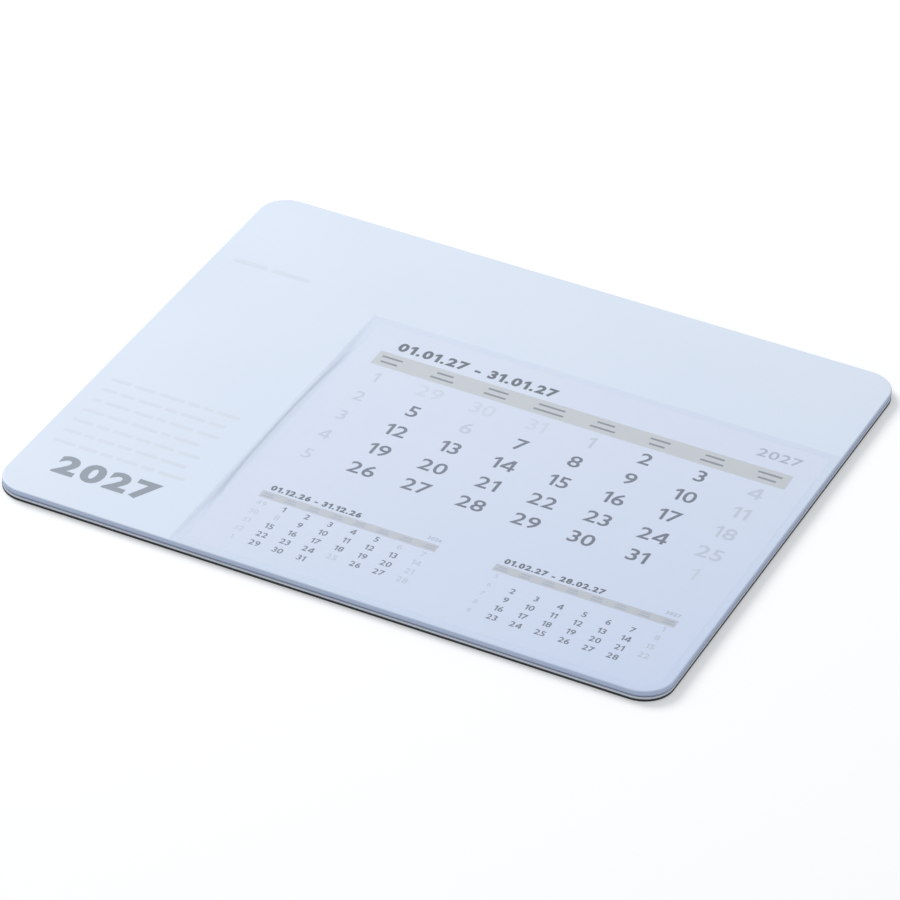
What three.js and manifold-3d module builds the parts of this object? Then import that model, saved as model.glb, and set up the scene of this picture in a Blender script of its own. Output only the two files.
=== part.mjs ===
// A mouse-mat desk calendar.
//
// A flat mat of four bonded layers: a black base pad, a white backing sheet, a pale foam body and a
// printed face sheet. The front right of the mat carries twelve monthly sheets. They lie in a shallow
// recess, level with the face, under a thick clear film that is welded along its back, right and
// front edges. The left edge of the film is the mouth. It gapes in the middle, over a dished scoop
// where a thumb pushes the sheets out.
//
// Millimetres. +X runs to the right along the long side, +Y to the back, +Z up.
// The origin is at the middle of the underside, on the surface that the mat lies on.

import * as THREE from 'three';
import { mergeVertices } from 'three/addons/utils/BufferGeometryUtils.js';
import Module from 'manifold-3d';

const wasm = await Module();
wasm.setup();

// Driving dimensions of the mat

const MAT_WIDTH = 235;
const MAT_DEPTH = 197.5;
const CORNER_RADIUS = 10.5;

const BASE_THICKNESS = 0.875;
const BACKING_THICKNESS = 0.75;
const BODY_THICKNESS = 2.125;
const FACE_THICKNESS = 0.25;

const RIM_RADIUS = 0.5; // round of the upper rim, shared by the body and the face sheet
const SEAM_DEPTH = 0.875; // the body is undercut by this much where it meets the backing sheet
const SEAM_HEIGHT = 0.5; // height over which the undercut runs out into the wall
const BACKING_RADIUS = 0.25; // round on top of the backing sheet, the lower side of the seam
const BASE_EDGE_RADIUS = 0.25; // round at the foot of the base pad
const BACKING_INSET = 0.125; // the backing sheet stands back from the wall by this much

// Driving dimensions of the monthly sheets and their pocket

const SHEET_COUNT = 12;
const SHEET_THICKNESS = 0.125;
const SHEET_CLEARANCE = 0.125; // play between the stack and the walls of the recess
const SHEET_CORNER_RADIUS = 2; // the three corners away from the corner of the mat

const FILM_THICKNESS = 0.5;
const FILM_EDGE_RADIUS = 0.25; // round along the upper edge of the film
const FILM_LEFT = 64.5; // lip of the pocket, from the left edge of the mat
const FILM_BACK = 146; // back edge of the pocket, from the front edge of the mat
const FILM_MARGIN = 0.5; // film edge to mat edge, at the right and at the front

const WELD_WIDTH = 2.5; // flat border of the film that is welded to the face
const LIP_OVERHANG = 4; // film beyond the left edge of the stack

const MOUTH_LIFT = 0.625; // height of the lip above the face in the middle of the mouth
const MOUTH_REACH = 7; // distance from the lip over which the film comes down again

const SCOOP_LENGTH = 112; // thumb scoop in the face and body along the left edge of the stack
const SCOOP_BOW = 3.5; // how far the scoop bows out beyond the wall of the recess
const SCOOP_DEPTH = 0.625; // depth of the scoop at the wall of the recess

// Fineness of the curves

const CORNER_STEPS = 10;
const SCOOP_STEPS = 96; // round the whole of the form that cuts the scoop
const ROUND_STEPS = 5;
const FILM_EDGE_STEPS = 3;
const REACH_STEPS = 6;
const MOUTH_STEPS = 20;

// Heights, from the table up

const backingBottom = BASE_THICKNESS;
const bodyBottom = backingBottom + BACKING_THICKNESS;
const faceBottom = bodyBottom + BODY_THICKNESS;
const faceTop = faceBottom + FACE_THICKNESS;
const recessFloor = faceTop - SHEET_COUNT * SHEET_THICKNESS;

// Outlines, each with its own radius per corner: front left, front right, back right, back left

const matOutline = {
  left: -MAT_WIDTH / 2,
  right: MAT_WIDTH / 2,
  front: -MAT_DEPTH / 2,
  back: MAT_DEPTH / 2,
  radii: [CORNER_RADIUS, CORNER_RADIUS, CORNER_RADIUS, CORNER_RADIUS],
};

const film = {
  left: matOutline.left + FILM_LEFT,
  right: matOutline.right - FILM_MARGIN,
  front: matOutline.front + FILM_MARGIN,
  back: matOutline.front + FILM_BACK,
  frontRightRadius: CORNER_RADIUS - FILM_MARGIN,
};

const filmToStack = WELD_WIDTH + SHEET_CLEARANCE;

const sheetOutline = {
  left: film.left + LIP_OVERHANG,
  right: film.right - filmToStack,
  front: film.front + filmToStack,
  back: film.back - filmToStack,
  radii: [
    SHEET_CORNER_RADIUS,
    Math.max(film.frontRightRadius - filmToStack, SHEET_CORNER_RADIUS),
    SHEET_CORNER_RADIUS,
    SHEET_CORNER_RADIUS,
  ],
};

// An outline moved inwards by an inset, or outwards by a negative one. Corners stay concentric.

const LEAST_RADIUS = 0.5;

function insetOutline(outline, inset) {
  return {
    left: outline.left + inset,
    right: outline.right - inset,
    front: outline.front + inset,
    back: outline.back - inset,
    radii: outline.radii.map((radius) => Math.max(radius - inset, LEAST_RADIUS)),
  };
}

// The points of an outline, counter-clockwise: an arc at each corner, joined by straight sides.
// Every outline gives the same number of points, so any two of them can be joined by a wall.

function outlinePoints(outline) {
  const { left, right, front, back, radii } = outline;
  const centres = [
    [left + radii[0], front + radii[0]],
    [right - radii[1], front + radii[1]],
    [right - radii[2], back - radii[2]],
    [left + radii[3], back - radii[3]],
  ];
  const points = [];
  centres.forEach(([x, y], corner) => {
    const radius = radii[corner];
    const start = Math.PI + (corner * Math.PI) / 2;
    for (let step = 0; step <= CORNER_STEPS; step += 1) {
      const angle = start + (step / CORNER_STEPS) * (Math.PI / 2);
      points.push(new THREE.Vector2(x + radius * Math.cos(angle), y + radius * Math.sin(angle)));
    }
  });
  return points;
}

function indexedGeometry(positions, index) {
  const geometry = new THREE.BufferGeometry();
  geometry.setAttribute('position', new THREE.Float32BufferAttribute(positions, 3));
  geometry.setIndex(index);
  return geometry;
}

// A flat layer of an outline. Its edge follows a profile of [inset, height] pairs from the bottom up:
// walls join the loop of each pair to the next one, and the first and last loops are filled.

function layer(outline, profile) {
  const loops = profile.map(([inset]) => outlinePoints(insetOutline(outline, inset)));
  const count = loops[0].length;
  const positions = loops.flatMap((loop, level) =>
    loop.flatMap((point) => [point.x, point.y, profile[level][1]]),
  );
  const index = [];
  for (let loop = 0; loop + 1 < loops.length; loop += 1) {
    for (let step = 0; step < count; step += 1) {
      const next = (step + 1) % count;
      const a = loop * count + step;
      const b = loop * count + next;
      const c = a + count;
      const d = b + count;
      index.push(a, b, d, a, d, c);
    }
  }
  const lastStart = (loops.length - 1) * count;
  for (const [a, b, c] of THREE.ShapeUtils.triangulateShape(loops[0], [])) {
    index.push(a, c, b);
  }
  for (const [a, b, c] of THREE.ShapeUtils.triangulateShape(loops[loops.length - 1], [])) {
    index.push(lastStart + a, lastStart + b, lastStart + c);
  }
  return indexedGeometry(positions, index);
}

// The part of the rounded upper rim between two heights, as [inset, height] pairs

function rimProfile(fromHeight, toHeight) {
  const centre = faceTop - RIM_RADIUS;
  const angleAt = (height) =>
    Math.asin(THREE.MathUtils.clamp((height - centre) / RIM_RADIUS, -1, 1));
  const start = angleAt(fromHeight);
  const end = angleAt(toHeight);
  const profile = [];
  for (let step = 0; step <= ROUND_STEPS; step += 1) {
    const angle = start + (step / ROUND_STEPS) * (end - start);
    profile.push([RIM_RADIUS * (1 - Math.cos(angle)), centre + RIM_RADIUS * Math.sin(angle)]);
  }
  profile[profile.length - 1][1] = toHeight;
  return profile;
}

// A quarter of an ellipse that opens upwards from the bottom of a layer, as [inset, height] pairs

function footProfile(depth, height, bottom) {
  const profile = [];
  for (let step = 0; step <= ROUND_STEPS; step += 1) {
    const angle = (step / ROUND_STEPS) * (Math.PI / 2);
    profile.push([depth * (1 - Math.sin(angle)), bottom + height * (1 - Math.cos(angle))]);
  }
  return profile;
}

// Cutting closed solids out of another one

function toManifold(geometry) {
  return new wasm.Manifold(
    new wasm.Mesh({
      numProp: 3,
      vertProperties: new Float32Array(geometry.getAttribute('position').array),
      triVerts: new Uint32Array(geometry.getIndex().array),
    }),
  );
}

function cut(geometry, tools) {
  const solid = tools.reduce((rest, tool) => rest.subtract(toManifold(tool)), toManifold(geometry));
  const mesh = solid.getMesh();
  return indexedGeometry(Array.from(mesh.vertProperties), Array.from(mesh.triVerts));
}

// The recess in the body and the window in the face sheet are one cut, a little larger than the stack.
// The thumb scoop is a shallow dish, the lowest part of a long ellipsoid. It is deepest at the left
// wall of the recess and runs out to nothing at its ends.

const CUT_OVERSHOOT = 1;

function recessTool() {
  return layer(sheetOutline, [
    [-SHEET_CLEARANCE, recessFloor],
    [-SHEET_CLEARANCE, faceTop + CUT_OVERSHOOT],
  ]);
}

function scoopTool() {
  const wall = sheetOutline.left - SHEET_CLEARANCE;
  const middle = (sheetOutline.front + sheetOutline.back) / 2;
  const radius = (SCOOP_BOW ** 2 + SCOOP_DEPTH ** 2) / (2 * SCOOP_DEPTH);
  const halfLength = (SCOOP_LENGTH / 2) * (radius / SCOOP_BOW);
  const sphere = new THREE.SphereGeometry(1, SCOOP_STEPS, SCOOP_STEPS);
  sphere.deleteAttribute('normal');
  sphere.deleteAttribute('uv');
  const tool = mergeVertices(sphere);
  tool.scale(radius, halfLength, radius);
  return tool.translate(wall, middle, faceTop + radius - SCOOP_DEPTH);
}

// The layers of the mat

function basePad() {
  return layer(matOutline, [
    ...footProfile(BASE_EDGE_RADIUS, BASE_EDGE_RADIUS, 0),
    [0, backingBottom],
  ]);
}

function backingSheet() {
  const shoulder = footProfile(BACKING_RADIUS, BACKING_RADIUS, 0)
    .reverse()
    .map(([inset, height]) => [BACKING_INSET + inset, bodyBottom - height]);
  return layer(matOutline, [[BACKING_INSET, backingBottom], ...shoulder]);
}

function matBody() {
  const body = layer(matOutline, [
    ...footProfile(SEAM_DEPTH, SEAM_HEIGHT, bodyBottom),
    ...rimProfile(faceTop - RIM_RADIUS, faceBottom),
  ]);
  return cut(body, [recessTool(), scoopTool()]);
}

function faceSheet() {
  return cut(layer(matOutline, rimProfile(faceBottom, faceTop)), [recessTool(), scoopTool()]);
}

// One monthly sheet, number 0 at the bottom of the stack

function monthSheet(number) {
  const bottom = recessFloor + number * SHEET_THICKNESS;
  return layer(sheetOutline, [
    [0, bottom],
    [0, bottom + SHEET_THICKNESS],
  ]);
}

// The underside of the pocket film lies on the face and on the stack, which are level. Along the mouth
// it lifts in a bow. The bow ends at the welded borders, and fades out to the right.

function filmUnderside(x, y) {
  const along = (y - sheetOutline.front) / (sheetOutline.back - sheetOutline.front);
  const bow = along > 0 && along < 1 ? (4 * along * (1 - along)) ** 2 : 0;
  const nearness = Math.max(1 - (x - film.left) / MOUTH_REACH, 0);
  return faceTop + MOUTH_LIFT * bow * nearness * nearness;
}

// The film is equally thick everywhere, apart from the round along its upper edge

function filmThickness(x, y) {
  const radius = film.frontRightRadius;
  const overRight = Math.max(x - (film.right - radius), 0);
  const overFront = Math.max(film.front + radius - y, 0);
  const cornerInset = radius - Math.hypot(overRight, overFront);
  const inset = Math.max(Math.min(cornerInset, x - film.left, film.back - y), 0);
  const short = Math.max(FILM_EDGE_RADIUS - inset, 0);
  return FILM_THICKNESS - FILM_EDGE_RADIUS + Math.sqrt(FILM_EDGE_RADIUS ** 2 - short ** 2);
}

// The film is a grid of points. Near an edge its lines lie at these distances: first over the round,
// then out to the end of the reach. At the front right the reach goes a little past the corner.

const CORNER_OVERREACH = 1;

function edgeInsets(reach) {
  const insets = [];
  for (let step = 0; step <= FILM_EDGE_STEPS; step += 1) {
    const angle = (step / FILM_EDGE_STEPS) * (Math.PI / 2);
    insets.push(FILM_EDGE_RADIUS * (1 - Math.cos(angle)));
  }
  for (let step = 1; step <= REACH_STEPS; step += 1) {
    insets.push(FILM_EDGE_RADIUS + (step / REACH_STEPS) * (reach - FILM_EDGE_RADIUS));
  }
  return insets;
}

// A place near the front right corner, given by its insets from the right and front edges. Lines of
// equal inset run round the corner as concentric arcs: each is walked from its middle by its length.

function cornerPlace(fromRight, fromFront, blockEnd) {
  const inset = Math.min(fromRight, fromFront);
  const radius = Math.max(film.frontRightRadius - inset, 0);
  const straight = blockEnd - inset - radius;
  const arc = (radius * Math.PI) / 4;
  const share = inset < blockEnd ? (Math.max(fromRight, fromFront) - inset) / (blockEnd - inset) : 0;
  const walked = share * (arc + straight);
  const angle = radius > 0 ? Math.PI / 4 - Math.min(walked, arc) / radius : 0;
  const near = inset + radius * (1 - Math.cos(angle));
  const far = inset + radius * (1 - Math.sin(angle)) + Math.max(walked - arc, 0);
  return fromRight < fromFront ? [near, far] : [far, near];
}

function filmGrid() {
  const blockEnd = film.frontRightRadius + CORNER_OVERREACH;
  const insets = edgeInsets(blockEnd);
  const columns = [
    ...edgeInsets(MOUTH_REACH).map((inset) => film.left + inset),
    ...insets.map((inset) => film.right - inset).reverse(),
  ];
  const rows = insets.map((inset) => film.front + inset);
  const mouthStart = film.front + blockEnd;
  const mouthEnd = film.back - blockEnd;
  for (let step = 1; step < MOUTH_STEPS; step += 1) {
    rows.push(mouthStart + (step / MOUTH_STEPS) * (mouthEnd - mouthStart));
  }
  rows.push(...insets.map((inset) => film.back - inset).reverse());
  return columns.map((x) =>
    rows.map((y) => {
      const fromRight = film.right - x;
      const fromFront = y - film.front;
      if (fromRight > blockEnd || fromFront > blockEnd) {
        return [x, y];
      }
      const [right, front] = cornerPlace(fromRight, fromFront, blockEnd);
      return [film.right - right, film.front + front];
    }),
  );
}

// The film as a closed solid: an underside, a topside and a wall round its edge

function pocketFilm() {
  const grid = filmGrid();
  const columnCount = grid.length;
  const rowCount = grid[0].length;
  const pointCount = columnCount * rowCount;
  const underside = grid.flat().flatMap(([x, y]) => [x, y, filmUnderside(x, y)]);
  const topside = grid
    .flat()
    .flatMap(([x, y]) => [x, y, filmUnderside(x, y) + filmThickness(x, y)]);
  const at = (column, row) => column * rowCount + row;
  const index = [];
  for (let column = 0; column + 1 < columnCount; column += 1) {
    for (let row = 0; row + 1 < rowCount; row += 1) {
      const a = at(column, row);
      const b = at(column + 1, row);
      const c = at(column + 1, row + 1);
      const d = at(column, row + 1);
      index.push(a, c, b, a, d, c);
      index.push(...[a, b, c, a, c, d].map((corner) => corner + pointCount));
    }
  }
  const edge = [];
  for (let column = 0; column + 1 < columnCount; column += 1) edge.push(at(column, 0));
  for (let row = 0; row + 1 < rowCount; row += 1) edge.push(at(columnCount - 1, row));
  for (let column = columnCount - 1; column > 0; column -= 1) edge.push(at(column, rowCount - 1));
  for (let row = rowCount - 1; row > 0; row -= 1) edge.push(at(0, row));
  edge.forEach((a, step) => {
    const b = edge[(step + 1) % edge.length];
    index.push(a, b, b + pointCount, a, b + pointCount, a + pointCount);
  });
  return indexedGeometry([...underside, ...topside], index);
}

// Materials, as the photograph shows them

function finish(color, roughness) {
  return new THREE.MeshStandardMaterial({ color, roughness, metalness: 0 });
}

const blackRubber = finish(0x1b1c1e, 0.85);
const whiteBacking = finish(0xe9ebee, 0.7);
const paleFoam = finish(0xb9c0c9, 0.8);
const printedFace = finish(0xdfe8f4, 0.55);
const whitePaper = finish(0xf1f3f6, 0.75);
const clearFilm = finish(0xd9e2f0, 0.35);

// Assembly

const part = new THREE.Group();

function add(name, geometry, material) {
  const mesh = new THREE.Mesh(geometry, material);
  mesh.name = name;
  part.add(mesh);
}

add('base_pad', basePad(), blackRubber);
add('backing_sheet', backingSheet(), whiteBacking);
add('mat_body', matBody(), paleFoam);
add('face_sheet', faceSheet(), printedFace);
for (let number = 0; number < SHEET_COUNT; number += 1) {
  add(`month_sheet_${String(number + 1).padStart(2, '0')}`, monthSheet(number), whitePaper);
}
add('pocket_film', pocketFilm(), clearFilm);

export default part;
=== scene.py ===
# %% [markdown]
# # A mouse-mat desk calendar
#
# The object is a soft mat, 235 mm wide and only 4 mm thick. From the desk up it has a black
# non-slip base, a thin white backing, a pale foam body and a printed face. Its front right part
# carries a stack of monthly sheets under a clear film, which is open on its left side.
#
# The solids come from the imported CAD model. This lesson gives them their finishes, makes the film
# again as a finer sheet, and adds the print. Everything is in metres, in the model's own frame:
# +X to the right, +Y to the back, +Z up, with the underside of the mat at height 0.

# %% Load the CAD model
import math
import random

import bmesh
import bpy
from mathutils import Euler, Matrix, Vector
from mathutils.geometry import tessellate_polygon


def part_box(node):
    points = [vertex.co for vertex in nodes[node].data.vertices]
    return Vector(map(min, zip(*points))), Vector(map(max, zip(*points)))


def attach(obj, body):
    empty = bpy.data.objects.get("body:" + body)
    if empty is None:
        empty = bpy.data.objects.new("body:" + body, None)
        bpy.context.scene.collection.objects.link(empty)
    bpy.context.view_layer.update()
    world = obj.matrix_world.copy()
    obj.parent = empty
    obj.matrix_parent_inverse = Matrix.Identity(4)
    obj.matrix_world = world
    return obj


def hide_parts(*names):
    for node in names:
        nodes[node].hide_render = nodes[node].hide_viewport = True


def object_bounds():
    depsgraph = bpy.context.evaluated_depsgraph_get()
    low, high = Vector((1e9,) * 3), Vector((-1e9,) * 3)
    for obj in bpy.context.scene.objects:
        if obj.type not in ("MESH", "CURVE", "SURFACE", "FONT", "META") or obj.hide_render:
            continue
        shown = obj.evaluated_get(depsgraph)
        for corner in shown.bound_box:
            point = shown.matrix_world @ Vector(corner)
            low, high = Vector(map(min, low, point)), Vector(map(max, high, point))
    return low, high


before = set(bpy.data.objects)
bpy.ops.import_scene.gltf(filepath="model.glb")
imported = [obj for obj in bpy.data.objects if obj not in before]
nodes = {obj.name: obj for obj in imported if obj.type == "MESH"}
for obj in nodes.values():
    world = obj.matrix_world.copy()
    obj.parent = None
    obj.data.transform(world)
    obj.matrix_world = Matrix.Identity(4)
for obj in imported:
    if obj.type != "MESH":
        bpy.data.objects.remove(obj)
cad_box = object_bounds()
MM = 0.001

size = cad_box[1] - cad_box[0]
print("CAD nodes:", len(nodes), "size in mm:", [round(side / MM, 2) for side in size])

# %% [markdown]
# ## Camera
#
# A product photographer uses a long lens from a distance, which keeps the edges of a flat thing
# nearly parallel. The place, lens and roll below give the same corners as the photograph: the
# camera looks from the front right, about 35 degrees above the desk.

# %% Camera
CAMERA_PLACE = Vector((0.5815, -1.2971, 0.9927))
CAMERA_TARGET = Vector((0.0013, -0.0059, 0.0))
CAMERA_ROLL = math.radians(2.85)
CAMERA_LENS = 212.3

camera_data = bpy.data.cameras.new("camera")
camera_data.lens = CAMERA_LENS
camera_data.sensor_width = 36
camera_data.clip_start = 0.1
camera_data.clip_end = 50
camera = bpy.data.objects.new("camera", camera_data)
bpy.context.scene.collection.objects.link(camera)
camera.location = CAMERA_PLACE
aim = (CAMERA_TARGET - CAMERA_PLACE).to_track_quat("-Z", "Y")
camera.rotation_mode = "QUATERNION"
camera.rotation_quaternion = aim @ Euler((0, 0, CAMERA_ROLL)).to_quaternion()
bpy.context.scene.camera = camera
print("camera distance:", round((CAMERA_TARGET - CAMERA_PLACE).length, 3), "m")

# %% [markdown]
# ## A helper for shader maths
#
# A finish is a small calculation that Blender runs at each point of a surface. Wiring its nodes by
# hand takes many lines, so one class wraps a socket and lets Python's own operators add the nodes:
# `1 - mask * 0.2` makes two Math nodes. Colours go through Mix and vectors through Vector Math,
# because a Math node would turn them into one grey number. Every other node comes from `node`.

# %% Shader helper
class Flow:
    """An output socket of a material, used in expressions."""

    def __init__(self, tree, socket=None):
        self.tree = tree
        self.socket = socket

    def node(self, kind, settings=None, sockets=None, output=0):
        """Adds a node, sets it, fills its sockets and gives back one of its outputs."""
        made = self.tree.nodes.new(kind)
        for name, value in (settings or {}).items():
            setattr(made, name, value)
        for name, value in (sockets or {}).items():
            if isinstance(value, Flow):
                self.tree.links.new(value.socket, made.inputs[name])
            else:
                made.inputs[name].default_value = value
        return Flow(self.tree, made.outputs[output]) if made.outputs else None

    def combine(self, operation, first, second):
        kinds = [part.socket.type for part in (first, second) if isinstance(part, Flow)]
        if "RGBA" in kinds:
            settings = {"data_type": "RGBA", "blend_type": operation}
            return self.node("ShaderNodeMix", settings, {0: 1.0, 6: first, 7: second}, output=2)
        if "VECTOR" in kinds:
            settings = {"operation": operation}
            return self.node("ShaderNodeVectorMath", settings, {0: first, 1: second})
        return self.node("ShaderNodeMath", {"operation": operation}, {0: first, 1: second})

    def __add__(self, other):
        return self.combine("ADD", self, other)

    def __radd__(self, other):
        return self.combine("ADD", other, self)

    def __sub__(self, other):
        return self.combine("SUBTRACT", self, other)

    def __rsub__(self, other):
        return self.combine("SUBTRACT", other, self)

    def __mul__(self, other):
        return self.combine("MULTIPLY", self, other)

    def __rmul__(self, other):
        return self.combine("MULTIPLY", other, self)

    def __truediv__(self, other):
        return self.combine("DIVIDE", self, other)

    def __rtruediv__(self, other):
        return self.combine("DIVIDE", other, self)

    def clipped(self):
        settings = {"operation": "ADD", "use_clamp": True}
        return self.node("ShaderNodeMath", settings, {0: self, 1: 0.0})

    def wave(self):
        return self.node("ShaderNodeMath", {"operation": "SINE"}, {0: self})

    def root(self):
        return self.node("ShaderNodeMath", {"operation": "SQRT"}, {0: self})

    def axis(self, name):
        return self.node("ShaderNodeSeparateXYZ", None, {0: self}, output="XYZ".index(name))


def screen_colour(red, green, blue):
    """The linear colour of a picture's 0 to 255 values."""
    levels = [value / 255 for value in (red, green, blue)]
    linear = [
        level / 12.92 if level <= 0.04045 else ((level + 0.055) / 1.055) ** 2.4
        for level in levels
    ]
    return (*linear, 1.0)


print("shader helper ready; mid grey is", round(screen_colour(128, 128, 128)[0], 3))

# %% [markdown]
# ## Starting a finish
#
# Each finish has the same parts: an empty node tree, the place on the object in metres, and a
# Principled shader, alone or mixed with a second shader. The noise helpers work in millimetres,
# because the grain of foam, paper or rubber is easier to judge in millimetres than as a texture
# scale.

# %% Material helpers
def new_material(name):
    material = bpy.data.materials.new(name)
    material.use_nodes = True
    material.node_tree.nodes.clear()
    return material, Flow(material.node_tree)


def place_on_object(start):
    return start.node("ShaderNodeTexCoord", output=3)


def noise(place, grain_mm, detail=3.0):
    sockets = {"Vector": place, "Scale": 1 / (grain_mm * MM), "Detail": detail}
    return place.node("ShaderNodeTexNoise", None, sockets)


def cells(place, grain_mm):
    sockets = {"Vector": place, "Scale": 1 / (grain_mm * MM)}
    return place.node("ShaderNodeTexVoronoi", None, sockets)


def blend(factor, low, high):
    """From one colour to another as the factor goes from 0 to 1."""
    settings = {"data_type": "RGBA"}
    return factor.node("ShaderNodeMix", settings, {0: factor, 6: low, 7: high}, output=2)


def bumps(height, depth_mm, strength=1.0):
    sockets = {"Height": height, "Distance": depth_mm * MM, "Strength": strength}
    return height.node("ShaderNodeBump", None, sockets)


def principled(start, colour, roughness, normal=None, **fixed):
    sockets = {"Base Color": colour, "Roughness": roughness}
    if normal is not None:
        sockets["Normal"] = normal
    sockets.update({name.replace("_", " "): value for name, value in fixed.items()})
    return start.node("ShaderNodeBsdfPrincipled", None, sockets)


def close_material(material, shader):
    shader.node("ShaderNodeOutputMaterial", None, {"Surface": shader})
    print("material:", material.name, "nodes:", len(material.node_tree.nodes))
    return material


# %% [markdown]
# ## Printed face
#
# The face of the mat is a thin plastic-coated cloth, printed in a very pale blue. It isn't one flat
# colour: the coating has a fine pebbled grain that takes the shine off, and the tone drifts a little
# over the sheet. A painted shade darkens it slowly towards the front right corner. An image could
# carry all this, but it blurs close up. Noise and the place on the mat stay sharp at any distance, so
# grain from noise goes into the bump and the roughness, and tone into the colour.
#
# Along the mouth of the pocket, where the film bows up, a soft grey line of painted shade darkens
# the face. It follows the bow of the film, and is widest and darkest in the middle.

# %% Printed face tones
FACE_PALE = screen_colour(231, 240, 253)
FACE_DEEP = screen_colour(224, 234, 249)
FACE_PAINTED_SHADE = screen_colour(214, 227, 250)
PAINTED_MOUTH_SHADE = screen_colour(150, 158, 176)
face_low, face_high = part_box("face_sheet")
face_width, face_depth = face_high.x - face_low.x, face_high.y - face_low.y


def front_right(place):
    """The share of painted shade: nothing along the back and left edges, all at the corner."""
    right = (place.axis("X") - face_low.x) * (1 / face_width)
    front = (face_high.y - place.axis("Y")) * (1 / face_depth)
    return (right * front).clipped()


# %% Painted shade along the mouth
film_low, film_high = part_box("pocket_film")
MOUTH_MIDDLE = (film_low.y + film_high.y) / 2
MOUTH_HALF = (film_high.y - film_low.y) / 2
MOUTH_SHADE_INSET, MOUTH_SHADE_BOW = 0.6 * MM, 1.2 * MM
MOUTH_SHADE_HALF_WIDTH, MOUTH_SHADE_WIDENING = 0.8 * MM, 1.5 * MM
MOUTH_SHADE_STRENGTH = 0.27


def rubbed_line(place):
    """The share of painted shade: a soft line along the mouth, wider and further in at its middle."""
    along = (place.axis("Y") - MOUTH_MIDDLE) * (1 / MOUTH_HALF)
    bow = (1 - along * along).clipped()
    middle = film_low.x + MOUTH_SHADE_INSET + bow * MOUTH_SHADE_BOW
    half_width = MOUTH_SHADE_HALF_WIDTH + bow * MOUTH_SHADE_WIDENING
    across = (place.axis("X") - middle) / half_width
    return ((1 - across * across).clipped() * bow.root() * MOUTH_SHADE_STRENGTH).clipped()


# %% Printed face material
def printed_face_material():
    material, start = new_material("printed_face")
    place = place_on_object(start)
    drift = noise(place, 45, 2.0)
    grain = cells(place, 0.45)
    speckle = noise(place, 0.9, 4.0)
    clean = blend((drift * 0.8 + speckle * 0.2).clipped(), FACE_DEEP, FACE_PALE)
    # painted shade: the face darkens towards the front right corner
    shaded_face = blend(front_right(place), clean, FACE_PAINTED_SHADE)
    # painted shade along the mouth of the pocket, where the film lifts
    colour = blend(rubbed_line(place), shaded_face, PAINTED_MOUTH_SHADE)
    roughness = 0.44 + speckle * 0.16
    return close_material(
        material,
        principled(start, colour, roughness, bumps(grain + speckle, 0.02), IOR=1.45),
    )


printed_face = printed_face_material()

# %% [markdown]
# ## Foam body
#
# The wall of the mat is cut foam. A cut face shows the cells of the foam as tiny pits, a little
# darker than the skin between them, and the knife leaves faint streaks along the edge. At its foot
# a painted shade darkens the seam between foam and backing. The dished scoop in the top has the
# colour of the face. It needs no material of its own: its surface is the only part of the foam in
# sight that looks upwards, so the upward part of the surface normal can pick the colour.

# %% Foam material
FOAM_SKIN = screen_colour(203, 217, 245)
FOAM_PIT = screen_colour(179, 193, 223)
FOAM_SEAM_SHADE = screen_colour(34, 40, 56)
SEAM_SHADE_HEIGHT = 1.0 * MM
LOOKING_UP = 0.7
body_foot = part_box("mat_body")[0].z


def foam_material():
    material, start = new_material("foam_body")
    place = place_on_object(start)
    pits = cells(place, 0.28)
    streaks = noise(place * (1.0, 1.0, 9.0), 2.2, 3.0)
    tone = (pits * 1.4 + streaks * 0.3).clipped()
    # painted shade in the seam at the foot of the foam wall
    seam_shade = (1 - (place.axis("Z") - body_foot) * (1 / SEAM_SHADE_HEIGHT)).clipped()
    upwards = start.node("ShaderNodeNewGeometry", output=1).axis("Z")
    wall = blend(seam_shade, blend(tone, FOAM_PIT, FOAM_SKIN), FOAM_SEAM_SHADE)
    colour = blend(((upwards - LOOKING_UP) * 5).clipped(), wall, FACE_PALE)
    height = pits + streaks * 0.4
    return close_material(
        material, principled(start, colour, 0.7 + streaks * 0.2, bumps(height, 0.05), IOR=1.4)
    )


foam_body = foam_material()

# %% [markdown]
# ## White backing and black rubber
#
# Between foam and rubber lies a thin white sheet of which only the edge shows. The rubber base is
# moulded on a woven belt, which leaves a fine basket pattern on the underside: raised and sunk
# squares in turn, as on a chess board. Two crossed waves, one multiplied by the other, give that
# pattern, and a little noise roughens it.

# %% Backing material
BACKING_LIGHT = screen_colour(238, 244, 255)
BACKING_DARK = screen_colour(214, 222, 236)


def backing_material():
    material, start = new_material("backing_white")
    place = place_on_object(start)
    fibres = noise(place * (1.0, 1.0, 4.0), 0.6, 4.0)
    colour = blend(fibres, BACKING_DARK, BACKING_LIGHT)
    return close_material(material, principled(start, colour, 0.6 + fibres * 0.2, bumps(fibres, 0.03)))


backing_white = backing_material()

# %% Rubber material
RUBBER_DARK = screen_colour(18, 21, 26)
RUBBER_DUSTY = screen_colour(44, 49, 56)
BASKET_PITCH_MM = 2.6


def rubber_material():
    material, start = new_material("base_rubber")
    place = place_on_object(start)
    turn = 2 * math.pi / (BASKET_PITCH_MM * MM)
    across = (place.axis("X") * turn).wave()
    along = (place.axis("Y") * turn).wave()
    basket = across * along * 0.5 + 0.5
    dust = noise(place, 12, 5.0)
    grain = noise(place, 0.35, 3.0)
    colour = blend((dust * 0.7 + basket * 0.5 - 0.15).clipped(), RUBBER_DARK, RUBBER_DUSTY)
    roughness = 0.62 + grain * 0.25
    normal = bumps(basket + grain * 0.2, 0.08)
    return close_material(material, principled(start, colour, roughness, normal, IOR=1.5))


base_rubber = rubber_material()

# %% [markdown]
# ## Paper
#
# Calendar sheets are smooth offset paper. Close up it is slightly mottled, with short fibres, and
# it has almost no shine. A painted shade darkens it towards the front right, in step with the face
# round it.

# %% Paper material
PAPER_LIGHT = screen_colour(236, 243, 255)
PAPER_SHADE = screen_colour(228, 236, 250)
PAPER_PAINTED_SHADE = screen_colour(219, 230, 252)


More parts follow.
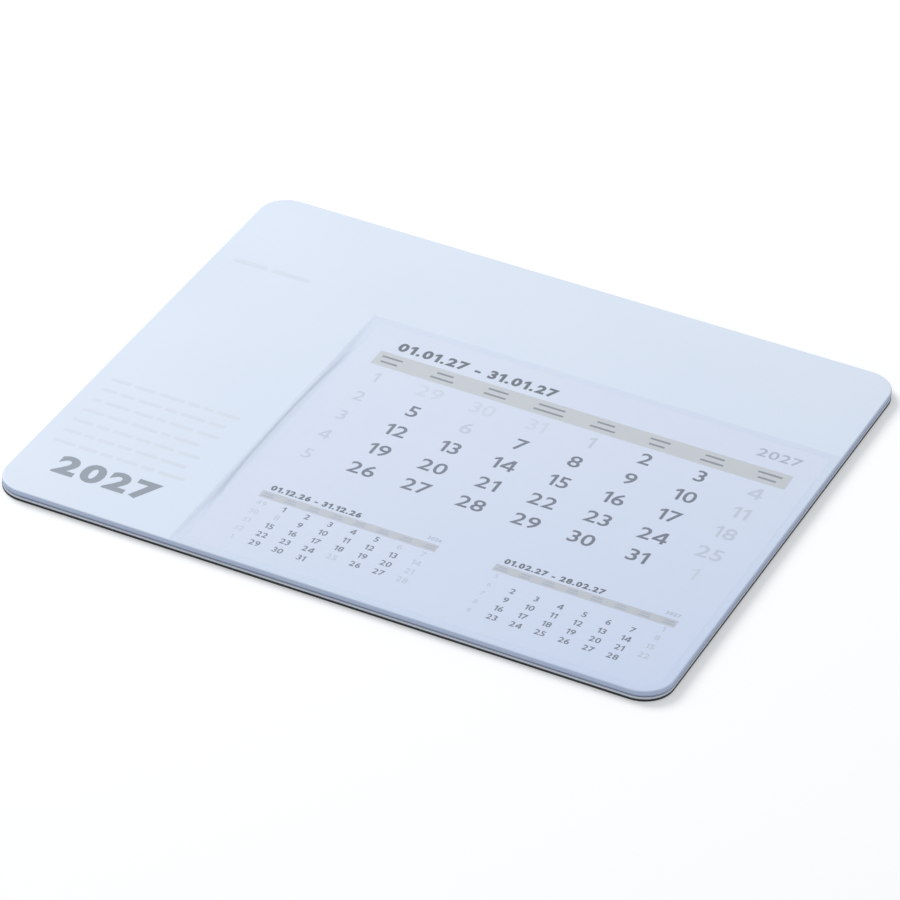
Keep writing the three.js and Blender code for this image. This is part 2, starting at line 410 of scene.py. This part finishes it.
def paper_material():
    material, start = new_material("sheet_paper")
    place = place_on_object(start)
    mottle = noise(place, 30, 3.0)
    fibre = noise(place * (1.0, 3.0, 1.0), 0.5, 5.0)
    clean = blend((mottle * 0.5 + fibre * 0.5).clipped(), PAPER_SHADE, PAPER_LIGHT)
    # painted shade: the paper darkens towards the front right corner
    colour = blend(front_right(place), clean, PAPER_PAINTED_SHADE)
    return close_material(material, principled(start, colour, 0.68 + fibre * 0.15, bumps(fibre, 0.003)))


sheet_paper = paper_material()

# %% [markdown]
# ## Clear film
#
# The film over the sheets is soft clear plastic with a satin surface. Most of the light goes
# straight through it, so it mixes a Transparent shader with a smooth one. The share of the smooth
# shader is the faint haze of the plastic, and Layer Weight adds more of it at flat angles, as on
# any plastic. Slow waves in the surface make its shine uneven.

# %% Film material
FILM_TINT = (0.995, 0.996, 1.0, 1.0)
FILM_VEIL = screen_colour(226, 233, 243)
FILM_HAZE, FILM_SCUFF, FILM_EDGE = 0.015, 0.012, 0.1


def film_material():
    material, start = new_material("clear_film")
    place = place_on_object(start)
    ripple = noise(place, 22, 2.0)
    scuff = noise(place * (1.0, 0.25, 1.0), 1.2, 5.0)
    edge_on = start.node("ShaderNodeLayerWeight", None, {"Blend": 0.25}, output=0)
    share = (FILM_HAZE + scuff * FILM_SCUFF + edge_on * FILM_EDGE).clipped()
    veil = principled(start, FILM_VEIL, 0.2 + scuff * 0.12, bumps(ripple, 0.25), IOR=1.5)
    clear = start.node("ShaderNodeBsdfTransparent", None, {"Color": FILM_TINT})
    both = start.node("ShaderNodeMixShader", None, {0: share, 1: clear, 2: veil})
    return close_material(material, both)


clear_film = film_material()

# %% [markdown]
# ## Inks
#
# The print is flat ink with soft, slightly uneven cover. One function makes every ink: the colour
# drifts between the ink and a shade nearer to the paper, as it does in thin offset print, and
# towards the front right corner a painted shade darkens the ink.

# %% Ink material
def ink_material(name, colour, thinner, shaded_lightness):
    """shaded_lightness is the share of the ink's lightness that is left at the front right corner,
    under the painted shade.
    """
    material, start = new_material(name)
    place = place_on_object(start)
    cover = noise(place, 0.7, 4.0)
    drift = noise(place, 18, 2.0)
    usual = blend((cover * 0.6 + drift * 0.4).clipped(), colour, thinner)
    shaded_colour = tuple(channel * shaded_lightness for channel in colour[:3]) + (1.0,)
    # painted shade: the ink darkens towards the front right corner
    tone = blend(front_right(place), usual, shaded_colour)
    return close_material(material, principled(start, tone, 0.5 + cover * 0.15, bumps(cover, 0.004)))


# %% Inks
# columns: usual ink, thinner ink, and the share of lightness left under the painted shade at the front
# right corner
INK_TONES = {
    "dark": ((108, 117, 136), (120, 129, 148), 0.5),
    "title": ((78, 89, 102), (92, 103, 116), 0.7),
    "mark": ((132, 140, 146), (146, 154, 160), 0.9),
    "middle": ((146, 156, 168), (156, 166, 178), 0.9),
    "soft": ((178, 187, 204), (188, 197, 213), 0.9),
    "faint": ((206, 215, 230), (213, 222, 236), 0.9),
    "pale": ((219, 227, 240), (224, 231, 244), 0.9),
    "band": ((209, 212, 215), (216, 219, 222), 0.9),
    "small_band": ((206, 209, 215), (212, 216, 222), 0.9),
    "ghost": ((219, 228, 240), (224, 232, 244), 0.9),
}
INKS = {
    name: ink_material("ink_" + name, screen_colour(*usual), screen_colour(*thinner), shaded_lightness)
    for name, (usual, thinner, shaded_lightness) in INK_TONES.items()
}
print("inks:", len(INKS))

# %% [markdown]
# ## Dressing the CAD solids
#
# The layers and sheets are right as they are, so each only gets its finish in the material slot of
# its mesh. The film and the top sheet are made again below.

# %% Finishes on the CAD nodes
def dress(node_name, material):
    solid = nodes[node_name]
    solid.data.materials.clear()
    solid.data.materials.append(material)


dress("base_pad", base_rubber)
dress("backing_sheet", backing_white)
dress("mat_body", foam_body)
dress("face_sheet", printed_face)
sheet_names = sorted(name for name in nodes if name.startswith("month_sheet_"))
for name in sheet_names:
    dress(name, sheet_paper)
print("dressed sheets:", len(sheet_names))

# %% [markdown]
# The top sheet is made again a hair larger. Paper that has been pushed in by hand lies against the
# walls of its recess, so that no dark gap shows round the page. The CAD mesh itself stays as it is:
# a copy is changed and takes its place, riding on the same body.

# %% Showing a piece
def show(name, mesh, material):
    """Puts a mesh in the scene as a piece of the mat, with its finish."""
    piece = bpy.data.objects.new(name, mesh)
    bpy.context.scene.collection.objects.link(piece)
    mesh.materials.clear()
    mesh.materials.append(material)
    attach(piece, "root")
    return piece


# %% Top sheet
PAGE_SPREAD = 0.1 * MM
page_mesh = nodes[sheet_names[-1]].data.copy()
page_low, page_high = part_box(sheet_names[-1])
page_middle = (page_low + page_high) / 2
page_half = (page_high - page_low) / 2
for vertex in page_mesh.vertices:
    for axis in (0, 1):
        share = (vertex.co[axis] - page_middle[axis]) / page_half[axis]
        vertex.co[axis] += share * PAGE_SPREAD
page = show("page", page_mesh, sheet_paper)
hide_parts(sheet_names[-1])
print("page spread by", PAGE_SPREAD / MM, "mm")

# %% [markdown]
# ## Pocket film
#
# The CAD film has the right form, but its facets would show in the shine. The piece below is the
# same sheet on a finer grid: flat on the face and the stack, rounded along its upper edge, and bowed
# up along the mouth on the left. It keeps a hair's breadth above the print, and real film is never
# quite flat, so slow shallow waves run through it.
#
# Near the front right corner the lines of the grid have to follow the round corner of the mat. A
# point there is placed by its distance from the edge and by how far round the corner it lies.

# %% Film sizes
stack_low, stack_high = page_low, page_high
stack_top = stack_high.z
face_top = face_high.z

FILM_CORNER = 10 * MM
FILM_AIR = 0.03 * MM
FILM_THICKNESS = 0.5 * MM - FILM_AIR
FILM_ROUND = 0.25 * MM
WELD = 2.5 * MM
MOUTH_LIFT = 0.625 * MM
MOUTH_REACH = 7 * MM
WAVE_HEIGHT = 0.03 * MM
WAVES = ((0.3, 71, 39), (0.2, -27, 93))
LOOSE_REACH = 12 * MM
print("film in mm:", [round(v / MM, 2) for v in (*film_low, *film_high)])

# %% Film height
def film_inset(x, y):
    """How far a point lies inside the edge of the film."""
    over_right = max(x - (film_high.x - FILM_CORNER), 0.0)
    over_front = max(film_low.y + FILM_CORNER - y, 0.0)
    from_corner = FILM_CORNER - math.hypot(over_right, over_front)
    return max(min(from_corner, x - film_low.x, film_high.y - y), 0.0)


def film_height(x, y):
    along = (y - stack_low.y) / (stack_high.y - stack_low.y)
    bow = (4 * along * (1 - along)) ** 2 if 0 < along < 1 else 0.0
    nearness = max(1 - (x - film_low.x) / MOUTH_REACH, 0.0)
    waves = 0.5 + sum(size * math.sin(x * right + y * back) for size, right, back in WAVES)
    loose = min(max((film_inset(x, y) - WELD) / LOOSE_REACH, 0.0), 1.0)
    lift = MOUTH_LIFT * bow * nearness * nearness + WAVE_HEIGHT * waves * loose
    return face_top + FILM_AIR + lift


def film_thickness(x, y):
    short = max(FILM_ROUND - film_inset(x, y), 0.0)
    return FILM_THICKNESS - FILM_ROUND + math.sqrt(FILM_ROUND**2 - short**2)


# %% Film grid lines
CORNER_BLOCK = FILM_CORNER + 1 * MM
ROUND_STEPS, BORDER_STEPS = 6, 14
MIDDLE_COLUMNS, MIDDLE_ROWS = 28, 56


def spaced(start, end, steps):
    return [start + (end - start) * step / steps for step in range(1, steps + 1)]


def edge_insets(reach):
    """Grid lines from an edge: close together over the round, then even."""
    angles = [math.pi / 2 * step / ROUND_STEPS for step in range(ROUND_STEPS + 1)]
    insets = [FILM_ROUND * (1 - math.cos(angle)) for angle in angles]
    return insets + spaced(FILM_ROUND, reach, BORDER_STEPS)


def film_lines():
    insets = edge_insets(CORNER_BLOCK)
    inwards_out = insets[::-1]
    columns = [film_low.x + inset for inset in edge_insets(MOUTH_REACH)]
    columns += spaced(columns[-1], film_high.x - CORNER_BLOCK, MIDDLE_COLUMNS)[:-1]
    columns += [film_high.x - inset for inset in inwards_out]
    rows = [film_low.y + inset for inset in insets]
    rows += spaced(rows[-1], film_high.y - CORNER_BLOCK, MIDDLE_ROWS)[:-1]
    rows += [film_high.y - inset for inset in inwards_out]
    return columns, rows


print("grid lines:", [len(lines) for lines in film_lines()])

# %% Round corner of the grid
def round_corner(from_right, from_front):
    inset = min(from_right, from_front)
    radius = max(FILM_CORNER - inset, 0.0)
    arc = radius * math.pi / 4
    straight = CORNER_BLOCK - inset - radius
    room = CORNER_BLOCK - inset
    share = (max(from_right, from_front) - inset) / room if room > 0 else 0.0
    walked = share * (arc + straight)
    angle = math.pi / 4 - min(walked, arc) / radius if radius > 0 else 0.0
    near = inset + radius * (1 - math.cos(angle))
    far = inset + radius * (1 - math.sin(angle)) + max(walked - arc, 0.0)
    return (near, far) if from_right < from_front else (far, near)


def film_place(x, y):
    from_right, from_front = film_high.x - x, y - film_low.y
    if from_right > CORNER_BLOCK or from_front > CORNER_BLOCK:
        return x, y
    right, front = round_corner(from_right, from_front)
    return film_high.x - right, film_low.y + front


# %% Closed sheet over a grid
def sheet_mesh(name, columns, rows, place, height, thickness):
    """A closed thin sheet over a grid, with an underside, a top and a wall round its edge."""
    spots = [place(x, y) for x in columns for y in rows]
    bottom = [(x, y, height(x, y)) for x, y in spots]
    top = [(x, y, z + thickness(x, y)) for x, y, z in bottom]
    high = len(bottom)
    row_count = len(rows)

    def at(column, row):
        return column * row_count + row

    faces = []
    for left in range(len(columns) - 1):
        for row in range(row_count - 1):
            right, further = left + 1, row + 1
            ring = [at(left, row), at(right, row), at(right, further), at(left, further)]
            faces.append([high + corner for corner in ring])
            faces.append(ring[::-1])
    last_column, last_row = len(columns) - 1, row_count - 1
    edge = [at(column, 0) for column in range(last_column)]
    edge += [at(last_column, row) for row in range(last_row)]
    edge += [at(column, last_row) for column in range(last_column, 0, -1)]
    edge += [at(0, row) for row in range(last_row, 0, -1)]
    for a, b in zip(edge, edge[1:] + edge[:1]):
        faces.append([a, b, high + b, high + a])
    mesh = bpy.data.meshes.new(name)
    mesh.from_pydata(bottom + top, [], faces)
    mesh.update()
    return mesh


# %% Film piece
UPPER_SIDE = 0.05
film_mesh = sheet_mesh("film", *film_lines(), film_place, film_height, film_thickness)
for face in film_mesh.polygons:
    face.use_smooth = face.normal.z > UPPER_SIDE
film = show("film", film_mesh, clear_film)
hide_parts("pocket_film")
print("film faces:", len(film_mesh.polygons))

# %% [markdown]
# ## Print: digits
#
# The numbers are shapes, not pictures. Blender's own font gives the outline of each digit once; the
# outline becomes a very thin closed solid, and every number is put together from copies. A real
# printed digit has no thickness, but a hundredth of a millimetre is enough to lie on the paper
# without flickering.
#
# The one and the four are drawn here from a few corners. The print has a one with a flag, which
# the font lacks, and the outline of the font's four crosses itself when its strokes get thicker.

# %% Shape of a font character
INK_THICKNESS = 0.012 * MM
GLYPHS = "0123456789.-"


def glyph_shape(character, weight):
    """Points, faces and outline edges of a character of the font."""
    curve = bpy.data.curves.new("glyph", "FONT")
    curve.body = character
    curve.size = 1.0
    curve.offset = weight
    curve.resolution_u = 4
    carrier = bpy.data.objects.new("glyph", curve)
    bpy.context.scene.collection.objects.link(carrier)
    mesh = bpy.data.meshes.new_from_object(carrier)
    form = bmesh.new()
    form.from_mesh(mesh)
    bmesh.ops.remove_doubles(form, verts=form.verts, dist=1e-5)
    bmesh.ops.triangulate(form, faces=form.faces)
    form.verts.index_update()
    points = [(vert.co.x, vert.co.y) for vert in form.verts]
    faces = [[vert.index for vert in face.verts] for face in form.faces]
    rims = [
        [loop.vert.index, loop.link_loop_next.vert.index]
        for face in form.faces
        for loop in face.loops
        if loop.edge.is_boundary
    ]
    form.free()
    bpy.data.objects.remove(carrier)
    bpy.data.meshes.remove(mesh)
    bpy.data.curves.remove(curve)
    return points, faces, rims


# %% Drawn digits
def drawn_shape(loops):
    """Points, faces, outline edges and width of a character given by its outline and holes."""
    points = [point for loop in loops for point in loop]
    faces = []
    for a, b, c in tessellate_polygon([[Vector((x, y, 0)) for x, y in loop] for loop in loops]):
        (ax, ay), (bx, by), (cx, cy) = points[a], points[b], points[c]
        turns_left = (bx - ax) * (cy - ay) > (by - ay) * (cx - ax)
        faces.append([a, b, c] if turns_left else [a, c, b])
    rims, start = [], 0
    for loop in loops:
        rims += [[start + k, start + (k + 1) % len(loop)] for k in range(len(loop))]
        start += len(loop)
    return points, faces, rims, max(x for x, _ in points)


def drawn_one(stroke):
    """A stem with a flag, 1 unit high. stroke is the thickness of the stem."""
    stem, flag = 0.2, 0.83
    return [[
        (stem, 0), (stem + stroke, 0), (stem + stroke, 1), (stem + 0.2 * stroke, 1),
        (0, flag), (0, flag - stroke), (stem, flag - stroke + 0.11),
    ]]


def drawn_four(stroke):
    stem, bar, width = 0.46, 0.2, 0.74
    top = bar + stroke
    outline = [
        (stem, 0), (stem + stroke, 0), (stem + stroke, bar), (width, bar), (width, top),
        (stem + stroke, top), (stem + stroke, 1), (stem - 0.03, 1), (0, top), (0, bar), (stem, bar),
    ]
    return [outline, [(stem, top), (stroke * 1.25, top), (stem, 1 - stroke * 1.75)]]


# %% Digit sets
REGULAR_WEIGHT, BOLD_WEIGHT, LIGHT_WEIGHT = 0.012, 0.045, 0.008


def glyph_set(weight):
    """Every character, moved and scaled so that digits are 1 unit high and start at 0."""
    shapes = {character: glyph_shape(character, weight) for character in GLYPHS}
    tall = [y for _, y in shapes["0"][0]]
    floor, height = min(tall), max(tall) - min(tall)
    fitted = {}
    for character, (points, faces, rims) in shapes.items():
        left = min(x for x, _ in points)
        placed = [((x - left) / height, (y - floor) / height) for x, y in points]
        fitted[character] = (placed, faces, rims, max(x for x, _ in placed))
    # the two drawn digits get strokes as thick as the font's dash
    dash = [y for _, y in fitted["-"][0]]
    stroke = max(dash) - min(dash)
    fitted["1"] = drawn_shape(drawn_one(stroke))
    fitted["4"] = drawn_shape(drawn_four(stroke))
    return fitted


REGULAR = glyph_set(REGULAR_WEIGHT)
BOLD = glyph_set(BOLD_WEIGHT)
LIGHT = glyph_set(LIGHT_WEIGHT)
print("digit widths:", {c: round(shape[3], 2) for c, shape in REGULAR.items()})

# %% [markdown]
# ## Print: collecting shapes
#
# One piece per ink and surface keeps the scene tidy. A `Print` gathers numbers and bars at their
# places and then becomes one mesh. Places on the mat are in millimetres from its front left
# corner, which is how they are measured on the object.

# %% Print class
mat_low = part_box("base_pad")[0]
SPACE_WIDTH = 0.3
ROUND_BAR_STEPS = 4


class Print:
    """Thin shapes of one ink on one surface."""

    def __init__(self, surface, right=0.0, back=0.0):
        self.surface = surface
        self.left = mat_low.x + right * MM
        self.front = mat_low.y + back * MM
        self.points = []
        self.faces = []

    def add(self, outline, faces, rims):
        """outline is in millimetres from the front left corner of the mat."""
        start = len(self.points)
        high = start + len(outline)
        for z in (self.surface, self.surface + INK_THICKNESS):
            self.points += [(self.left + x * MM, self.front + y * MM, z) for x, y in outline]
        self.faces += [[start + corner for corner in face[::-1]] for face in faces]
        self.faces += [[high + corner for corner in face] for face in faces]
        self.faces += [[start + a, start + b, high + b, high + a] for a, b in rims]

    def bar(self, left, right, front, back, radius):
        """Adds a bar with round corners between its four sides."""
        radius = min(radius, (right - left) / 2.01, (back - front) / 2.01)
        centres = [(right, back, 0), (left, back, 1), (left, front, 2), (right, front, 3)]
        outline = []
        for x, y, quarter in centres:
            middle_x = x + radius if x == left else x - radius
            middle_y = y + radius if y == front else y - radius
            for step in range(ROUND_BAR_STEPS + 1):
                angle = (quarter + step / ROUND_BAR_STEPS) * math.pi / 2
                point = (middle_x + radius * math.cos(angle), middle_y + radius * math.sin(angle))
                outline.append(point)
        count = len(outline)
        self.add(outline, [list(range(count))], [[k, (k + 1) % count] for k in range(count)])

    def text(self, characters, x, y, height, glyphs, squeeze=1.0, gap=0.12, align="middle"):
        """Writes numbers with their middle, left or right at x and their foot at y."""
        widths = [(SPACE_WIDTH if c == " " else glyphs[c][3]) * squeeze for c in characters]
        total = (sum(widths) + gap * (len(characters) - 1)) * height
        pen = x - {"left": 0.0, "middle": total / 2, "right": total}[align]
        for character, width in zip(characters, widths):
            if character != " ":
                points, faces, rims, _ = glyphs[character]
                outline = [(pen + px * squeeze * height, y + py * height) for px, py in points]
                self.add(outline, faces, rims)
            pen += (width + gap) * height

    def finish(self, name, ink):
        mesh = bpy.data.meshes.new(name)
        mesh.from_pydata(self.points, [], self.faces)
        mesh.update()
        print("print:", name, "faces:", len(mesh.polygons))
        return show(name, mesh, INKS[ink])


# %% [markdown]
# ## Print: the large month
#
# The page has a title, a grey band for the weekdays, and five weeks of numbers. Sundays and holidays
# (marked * below) and the days of the neighbouring months (marked ~) are paler, and so are the week
# numbers on the left. The title is a range of dates, and two short bars stand for each heading in
# the band.

# %% Sizes of the large month
PAGE_SHIFT = (0.5, -0.6)
TITLE_LEFT, TITLE_FOOT, TITLE_HEIGHT = 79.7, 131.6, 5.0
BAND = {"left": 75.5, "right": 224.7, "front": 120.7, "back": 129.0}
FIRST_COLUMN, COLUMN_PITCH = 81.05, 19.5
FIRST_ROW, ROW_PITCH = 114.45, 12.44
DAY_HEIGHT, DAY_SQUEEZE, DAY_GAP = 6.4, 1.04, 0.13
TITLE_WAY = {"glyphs": BOLD, "squeeze": 1.02, "gap": 0.13, "align": "left"}
YEAR_CORNER_RIGHT, YEAR_CORNER_FOOT, YEAR_CORNER_HEIGHT = 224.2, 134.4, 4.6
YEAR_WAY = {"glyphs": REGULAR, "gap": 0.14, "align": "right"}
WEEK_NUMBER_SHARE = 0.86
WEEKS = [
    (1, ["29~", "30~", "31~", "1*", "2", "3", "4*"]),
    (2, ["5", "6*", "7", "8", "9", "10", "11*"]),
    (3, ["12", "13", "14", "15", "16", "17", "18*"]),
    (4, ["19", "20", "21", "22", "23", "24", "25*"]),
    (5, ["26", "27", "28", "29", "30", "31", "1~"]),
]
print("weeks of the large month:", len(WEEKS))

# %% Large month
dark_print = Print(stack_top, *PAGE_SHIFT)
faint_print = Print(stack_top, *PAGE_SHIFT)
pale_print = Print(stack_top, *PAGE_SHIFT)
soft_print = Print(stack_top, *PAGE_SHIFT)
title_print = Print(stack_top, *PAGE_SHIFT)
band_print = Print(stack_top, *PAGE_SHIFT)

title_print.text("01.01.27 - 31.01.27", TITLE_LEFT, TITLE_FOOT, TITLE_HEIGHT, **TITLE_WAY)
year_place = (YEAR_CORNER_RIGHT, YEAR_CORNER_FOOT, YEAR_CORNER_HEIGHT)
soft_print.text("2027", *year_place, squeeze=1.15, **YEAR_WAY)
band_print.bar(**BAND, radius=0.4)
for row, (week, days) in enumerate(WEEKS):
    foot = FIRST_ROW - row * ROW_PITCH - DAY_HEIGHT / 2
    faint_print.text(str(week), FIRST_COLUMN, foot, DAY_HEIGHT * WEEK_NUMBER_SHARE, LIGHT)
    for column, day in enumerate(days, start=1):
        target = {"*": faint_print, "~": pale_print}.get(day[-1], dark_print)
        middle = FIRST_COLUMN + column * COLUMN_PITCH
        target.text(day.rstrip("*~"), middle, foot, DAY_HEIGHT, REGULAR, DAY_SQUEEZE, DAY_GAP)
print("numbers of the large month:", sum(len(days) for _, days in WEEKS))

# %% Weekday bars
UPPER_WIDTHS = (7.6, 6.0, 7.4, 9.6, 6.4, 7.2, 6.8, 8.6)
LOWER_WIDTHS = (6.2, 8.4, 8.0, 10.8, 9.0, 5.6, 8.2, 6.4)
UPPER_BAR, LOWER_BAR, BAR_ROUND = (125.8, 126.8), (122.8, 123.8), 0.3
mark_print = Print(stack_top + INK_THICKNESS, *PAGE_SHIFT)
for column, (upper, lower) in enumerate(zip(UPPER_WIDTHS, LOWER_WIDTHS)):
    middle = FIRST_COLUMN + column * COLUMN_PITCH
    for width, sides in ((upper, UPPER_BAR), (lower, LOWER_BAR)):
        mark_print.bar(middle - width / 2, middle + width / 2, *sides, BAR_ROUND)
print("weekday bars:", len(UPPER_WIDTHS) + len(LOWER_WIDTHS))

# %% [markdown]
# ## Print: the two small months
#
# Below the large month are the months before and after it, at less than half the size. They could
# be scaled copies of the large one, but their rows and columns are spaced differently, so one
# function lays out both from sizes of their own.

# %% Small month
SMALL_DAY_HEIGHT, SMALL_TITLE_HEIGHT, SMALL_YEAR_HEIGHT = 2.7, 2.8, 1.7
SMALL_WIDTH, SMALL_BAND_DEPTH, SMALL_BAND_BELOW = 62.8, 3.8, 1.1
SMALL_BARS = ((1.7, 1.6, 1.0), (2.0, 2.9, 2.3))
SMALL_TITLE_INSET, SMALL_YEAR_INSET, SMALL_YEAR_RISE = 1.7, 0.4, 0.6
WEEK_COLUMN, DAY_COLUMN, SMALL_COLUMN_PITCH, SMALL_ROW_PITCH = 2.8, 10.8, 8.25, 5.1
small_print = Print(stack_top, *PAGE_SHIFT)
small_band_print = Print(stack_top, *PAGE_SHIFT)
small_mark_print = Print(stack_top + INK_THICKNESS, *PAGE_SHIFT)


def small_band(left, band_back):
    """The grey band with two short bars for the week column and for each weekday."""
    small_band_print.bar(left, left + SMALL_WIDTH, band_back - SMALL_BAND_DEPTH, band_back, 0.2)
    day_columns = [left + DAY_COLUMN + column * SMALL_COLUMN_PITCH for column in range(7)]
    for middle in [left + WEEK_COLUMN] + day_columns:
        for half, low, high in SMALL_BARS:
            sides = (middle - half, middle + half, band_back - low, band_back - high)
            small_mark_print.bar(*sides, 0.1)
    return day_columns


def small_month(left, title, year, first_row, rows, title_foot):
    day_columns = small_band(left, title_foot - SMALL_BAND_BELOW)
    title_place = (left + SMALL_TITLE_INSET, title_foot, SMALL_TITLE_HEIGHT)
    title_print.text(title, *title_place, **TITLE_WAY)
    year_right = left + SMALL_WIDTH - SMALL_YEAR_INSET
    soft_print.text(year, year_right, title_foot + SMALL_YEAR_RISE, SMALL_YEAR_HEIGHT, **YEAR_WAY)
    for row, (week, days) in enumerate(rows):
        foot = first_row - row * SMALL_ROW_PITCH - SMALL_DAY_HEIGHT / 2
        week_height = SMALL_DAY_HEIGHT * WEEK_NUMBER_SHARE
        faint_print.text(str(week), left + WEEK_COLUMN, foot, week_height, LIGHT)
        for middle, day in zip(day_columns, days):
            if day:
                target = faint_print if day.endswith("*") else small_print
                target.text(day.rstrip("*"), middle, foot, SMALL_DAY_HEIGHT, REGULAR)


# %% The months before and after
december = [
    (49, ["1", "2", "3", "4", "5", "6*", "7*"]),
    (50, ["8*", "9", "10", "11", "12", "13", "14*"]),
    (51, ["15", "16", "17", "18", "19", "20", "21*"]),
    (52, ["22", "23", "24", "25*", "26", "27", "28*"]),
    (1, ["29", "30", "31", "", "", "", ""]),
]
february = [
    (5, ["", "", "", "", "", "", "1*"]),
    (6, ["2", "3", "4", "5", "6", "7", "8*"]),
    (7, ["9", "10", "11", "12", "13", "14", "15*"]),
    (8, ["16", "17", "18", "19", "20", "21", "22*"]),
    (9, ["23", "24", "25", "26", "27", "28", ""]),
]
small_month(78.0, "01.12.26 - 31.12.26", "2026", 32.6, december, 40.2)
small_month(160.6, "01.02.27 - 28.02.27", "2027", 33.6, february, 40.6)
print("rows of the small months:", len(december), "and", len(february))

# %% Pieces of print on the page
dark_print.finish("month_numbers", "dark")
small_print.finish("small_month_numbers", "dark")
faint_print.finish("rest_day_numbers", "faint")
pale_print.finish("neighbour_month_numbers", "pale")
soft_print.finish("year_numbers_small", "soft")
title_print.finish("month_titles", "title")
band_print.finish("weekday_band", "band")
mark_print.finish("weekday_bars", "mark")
small_band_print.finish("small_weekday_bands", "small_band")
small_mark_print.finish("small_weekday_bars", "soft")

# %% [markdown]
# ## Print on the mat itself
#
# The left side of the face has a large year. Above it are rows of dashes of uneven length, so
# pale that they hardly show, and two longer ones stand near the back edge. A random generator with
# a fixed seed sets the lengths in the rows, so they come out the same each time.

# %% Large year
YEAR_LEFT, YEAR_FOOT, YEAR_HEIGHT = 13.6, 14.4, 10.5
year_print = Print(face_top)
year_print.text("2027", YEAR_LEFT, YEAR_FOOT, YEAR_HEIGHT, BOLD, 1.15, 0.12, "left")
year_print.finish("year_numbers_large", "middle")

# %% Pale dashes
LINE_COUNT, LINE_PITCH, FIRST_LINE_FOOT = 7, 6.5, 69.0
LINE_LEFT, LAST_START, LINE_RIGHT = 6.0, 50, 54
DASH_DEPTH, DASH_GAP, DASH_ROUND = 1.7, 1.5, 0.4
lengths = random.Random(27)
ghost_print = Print(face_top)
for line in range(LINE_COUNT):
    pen = LINE_LEFT
    foot = FIRST_LINE_FOOT - line * LINE_PITCH
    while pen < LAST_START:
        length = min(lengths.uniform(3.0, 9.5), LINE_RIGHT - pen)
        ghost_print.bar(pen, pen + length, foot, foot + DASH_DEPTH, DASH_ROUND)
        pen += length + DASH_GAP
for left, right in ((7.5, 20.0), (22.0, 36.2)):
    ghost_print.bar(left, right, front=152.6, back=154.9, radius=0.6)
ghost_print.finish("pale_dashes", "ghost")

# %% [markdown]
# ## Floor, backdrop and light
#
# The mat lies on a plain white floor. It has the diffuse white of paper, and a little more white
# that only the camera sees, directly or by way of a shiny or clear surface, so that it reads as
# pure white while it keeps the shadow. The world does the same above the horizon. The floor lies a
# twentieth of a millimetre under the base, because two faces at the same height flicker.

# %% What is seen directly
LOOKING_RAYS = ("Is Camera Ray", "Is Glossy Ray", "Is Transmission Ray")


def seen_directly(start):
    """1 for rays from the camera, from a shiny surface or through a clear one."""
    camera_ray, glossy, transmission = (
        start.node("ShaderNodeLightPath", output=name) for name in LOOKING_RAYS
    )
    return (camera_ray + glossy + transmission).clipped()


# %% Floor material
FLOOR_SHADE, FLOOR_LIGHT = (0.8, 0.8, 0.8, 1.0), (0.82, 0.82, 0.82, 1.0)
WHITE = (1.0, 1.0, 1.0, 1.0)
FLOOR_GLOW = 0.3


def floor_material():
    material, start = new_material("floor_white")
    colour = blend(noise(place_on_object(start), 400, 2.0), FLOOR_SHADE, FLOOR_LIGHT)
    plain = principled(start, colour, 1.0, Specular_IOR_Level=0.0)
    glow = start.node("ShaderNodeEmission", None, {"Color": WHITE, "Strength": FLOOR_GLOW})
    lit = start.node("ShaderNodeAddShader", None, {0: plain, 1: glow})
    mixed = {0: seen_directly(start), 1: plain, 2: lit}
    return close_material(material, start.node("ShaderNodeMixShader", None, mixed))


# %% Floor
FLOOR_HALF = 6.0
FLOOR_DROP = 0.05 * MM
floor_mesh = bpy.data.meshes.new("floor")
floor_sides = [(-1, -1), (1, -1), (1, 1), (-1, 1)]
floor_corners = [(x * FLOOR_HALF, y * FLOOR_HALF, -FLOOR_DROP) for x, y in floor_sides]
floor_mesh.from_pydata(floor_corners, [], [(0, 1, 2, 3)])
floor = bpy.data.objects.new("floor", floor_mesh)
bpy.context.scene.collection.objects.link(floor)
floor_mesh.materials.append(floor_material())
print("floor side:", 2 * FLOOR_HALF, "m")

# %% World
WORLD_LIGHT = 0.52
WORLD_COLOUR = (0.94, 0.97, 1.0, 1.0)
world = bpy.data.worlds.new("studio")
bpy.context.scene.world = world
world.use_nodes = True
world.node_tree.nodes.clear()
sky = Flow(world.node_tree)
fill = sky.node("ShaderNodeBackground", None, {"Color": WORLD_COLOUR, "Strength": WORLD_LIGHT})
white = sky.node("ShaderNodeBackground", None, {"Color": WHITE, "Strength": 1.0})
shown = sky.node("ShaderNodeMixShader", None, {0: seen_directly(sky), 1: fill, 2: white})
sky.node("ShaderNodeOutputWorld", None, {"Surface": shown})
print("world light:", WORLD_LIGHT)

# %% [markdown]
# One large soft lamp stands to the left and a little behind the mat, a little over two metres off,
# so that the face is brightest at the back left while the front and right walls stay in shade.

# %% Key lamp
LAMP_PLACE = Vector((-1.55, 0.61, 1.55))
LAMP_SIZE = 1.2
LAMP_POWER = 31.7

lamp_data = bpy.data.lights.new("key", "AREA")
lamp_data.shape = "DISK"
lamp_data.size = LAMP_SIZE
lamp_data.energy = LAMP_POWER
lamp = bpy.data.objects.new("key", lamp_data)
bpy.context.scene.collection.objects.link(lamp)
lamp.location = LAMP_PLACE
lamp.rotation_mode = "QUATERNION"
lamp.rotation_quaternion = (-LAMP_PLACE).to_track_quat("-Z", "Y")
print("lamp distance:", round(LAMP_PLACE.length, 2), "m")

# %% [markdown]
# ## Finish
#
# Colours are shown as written, with the Standard view.

# %% Finish
bpy.context.scene.view_settings.view_transform = "Standard"
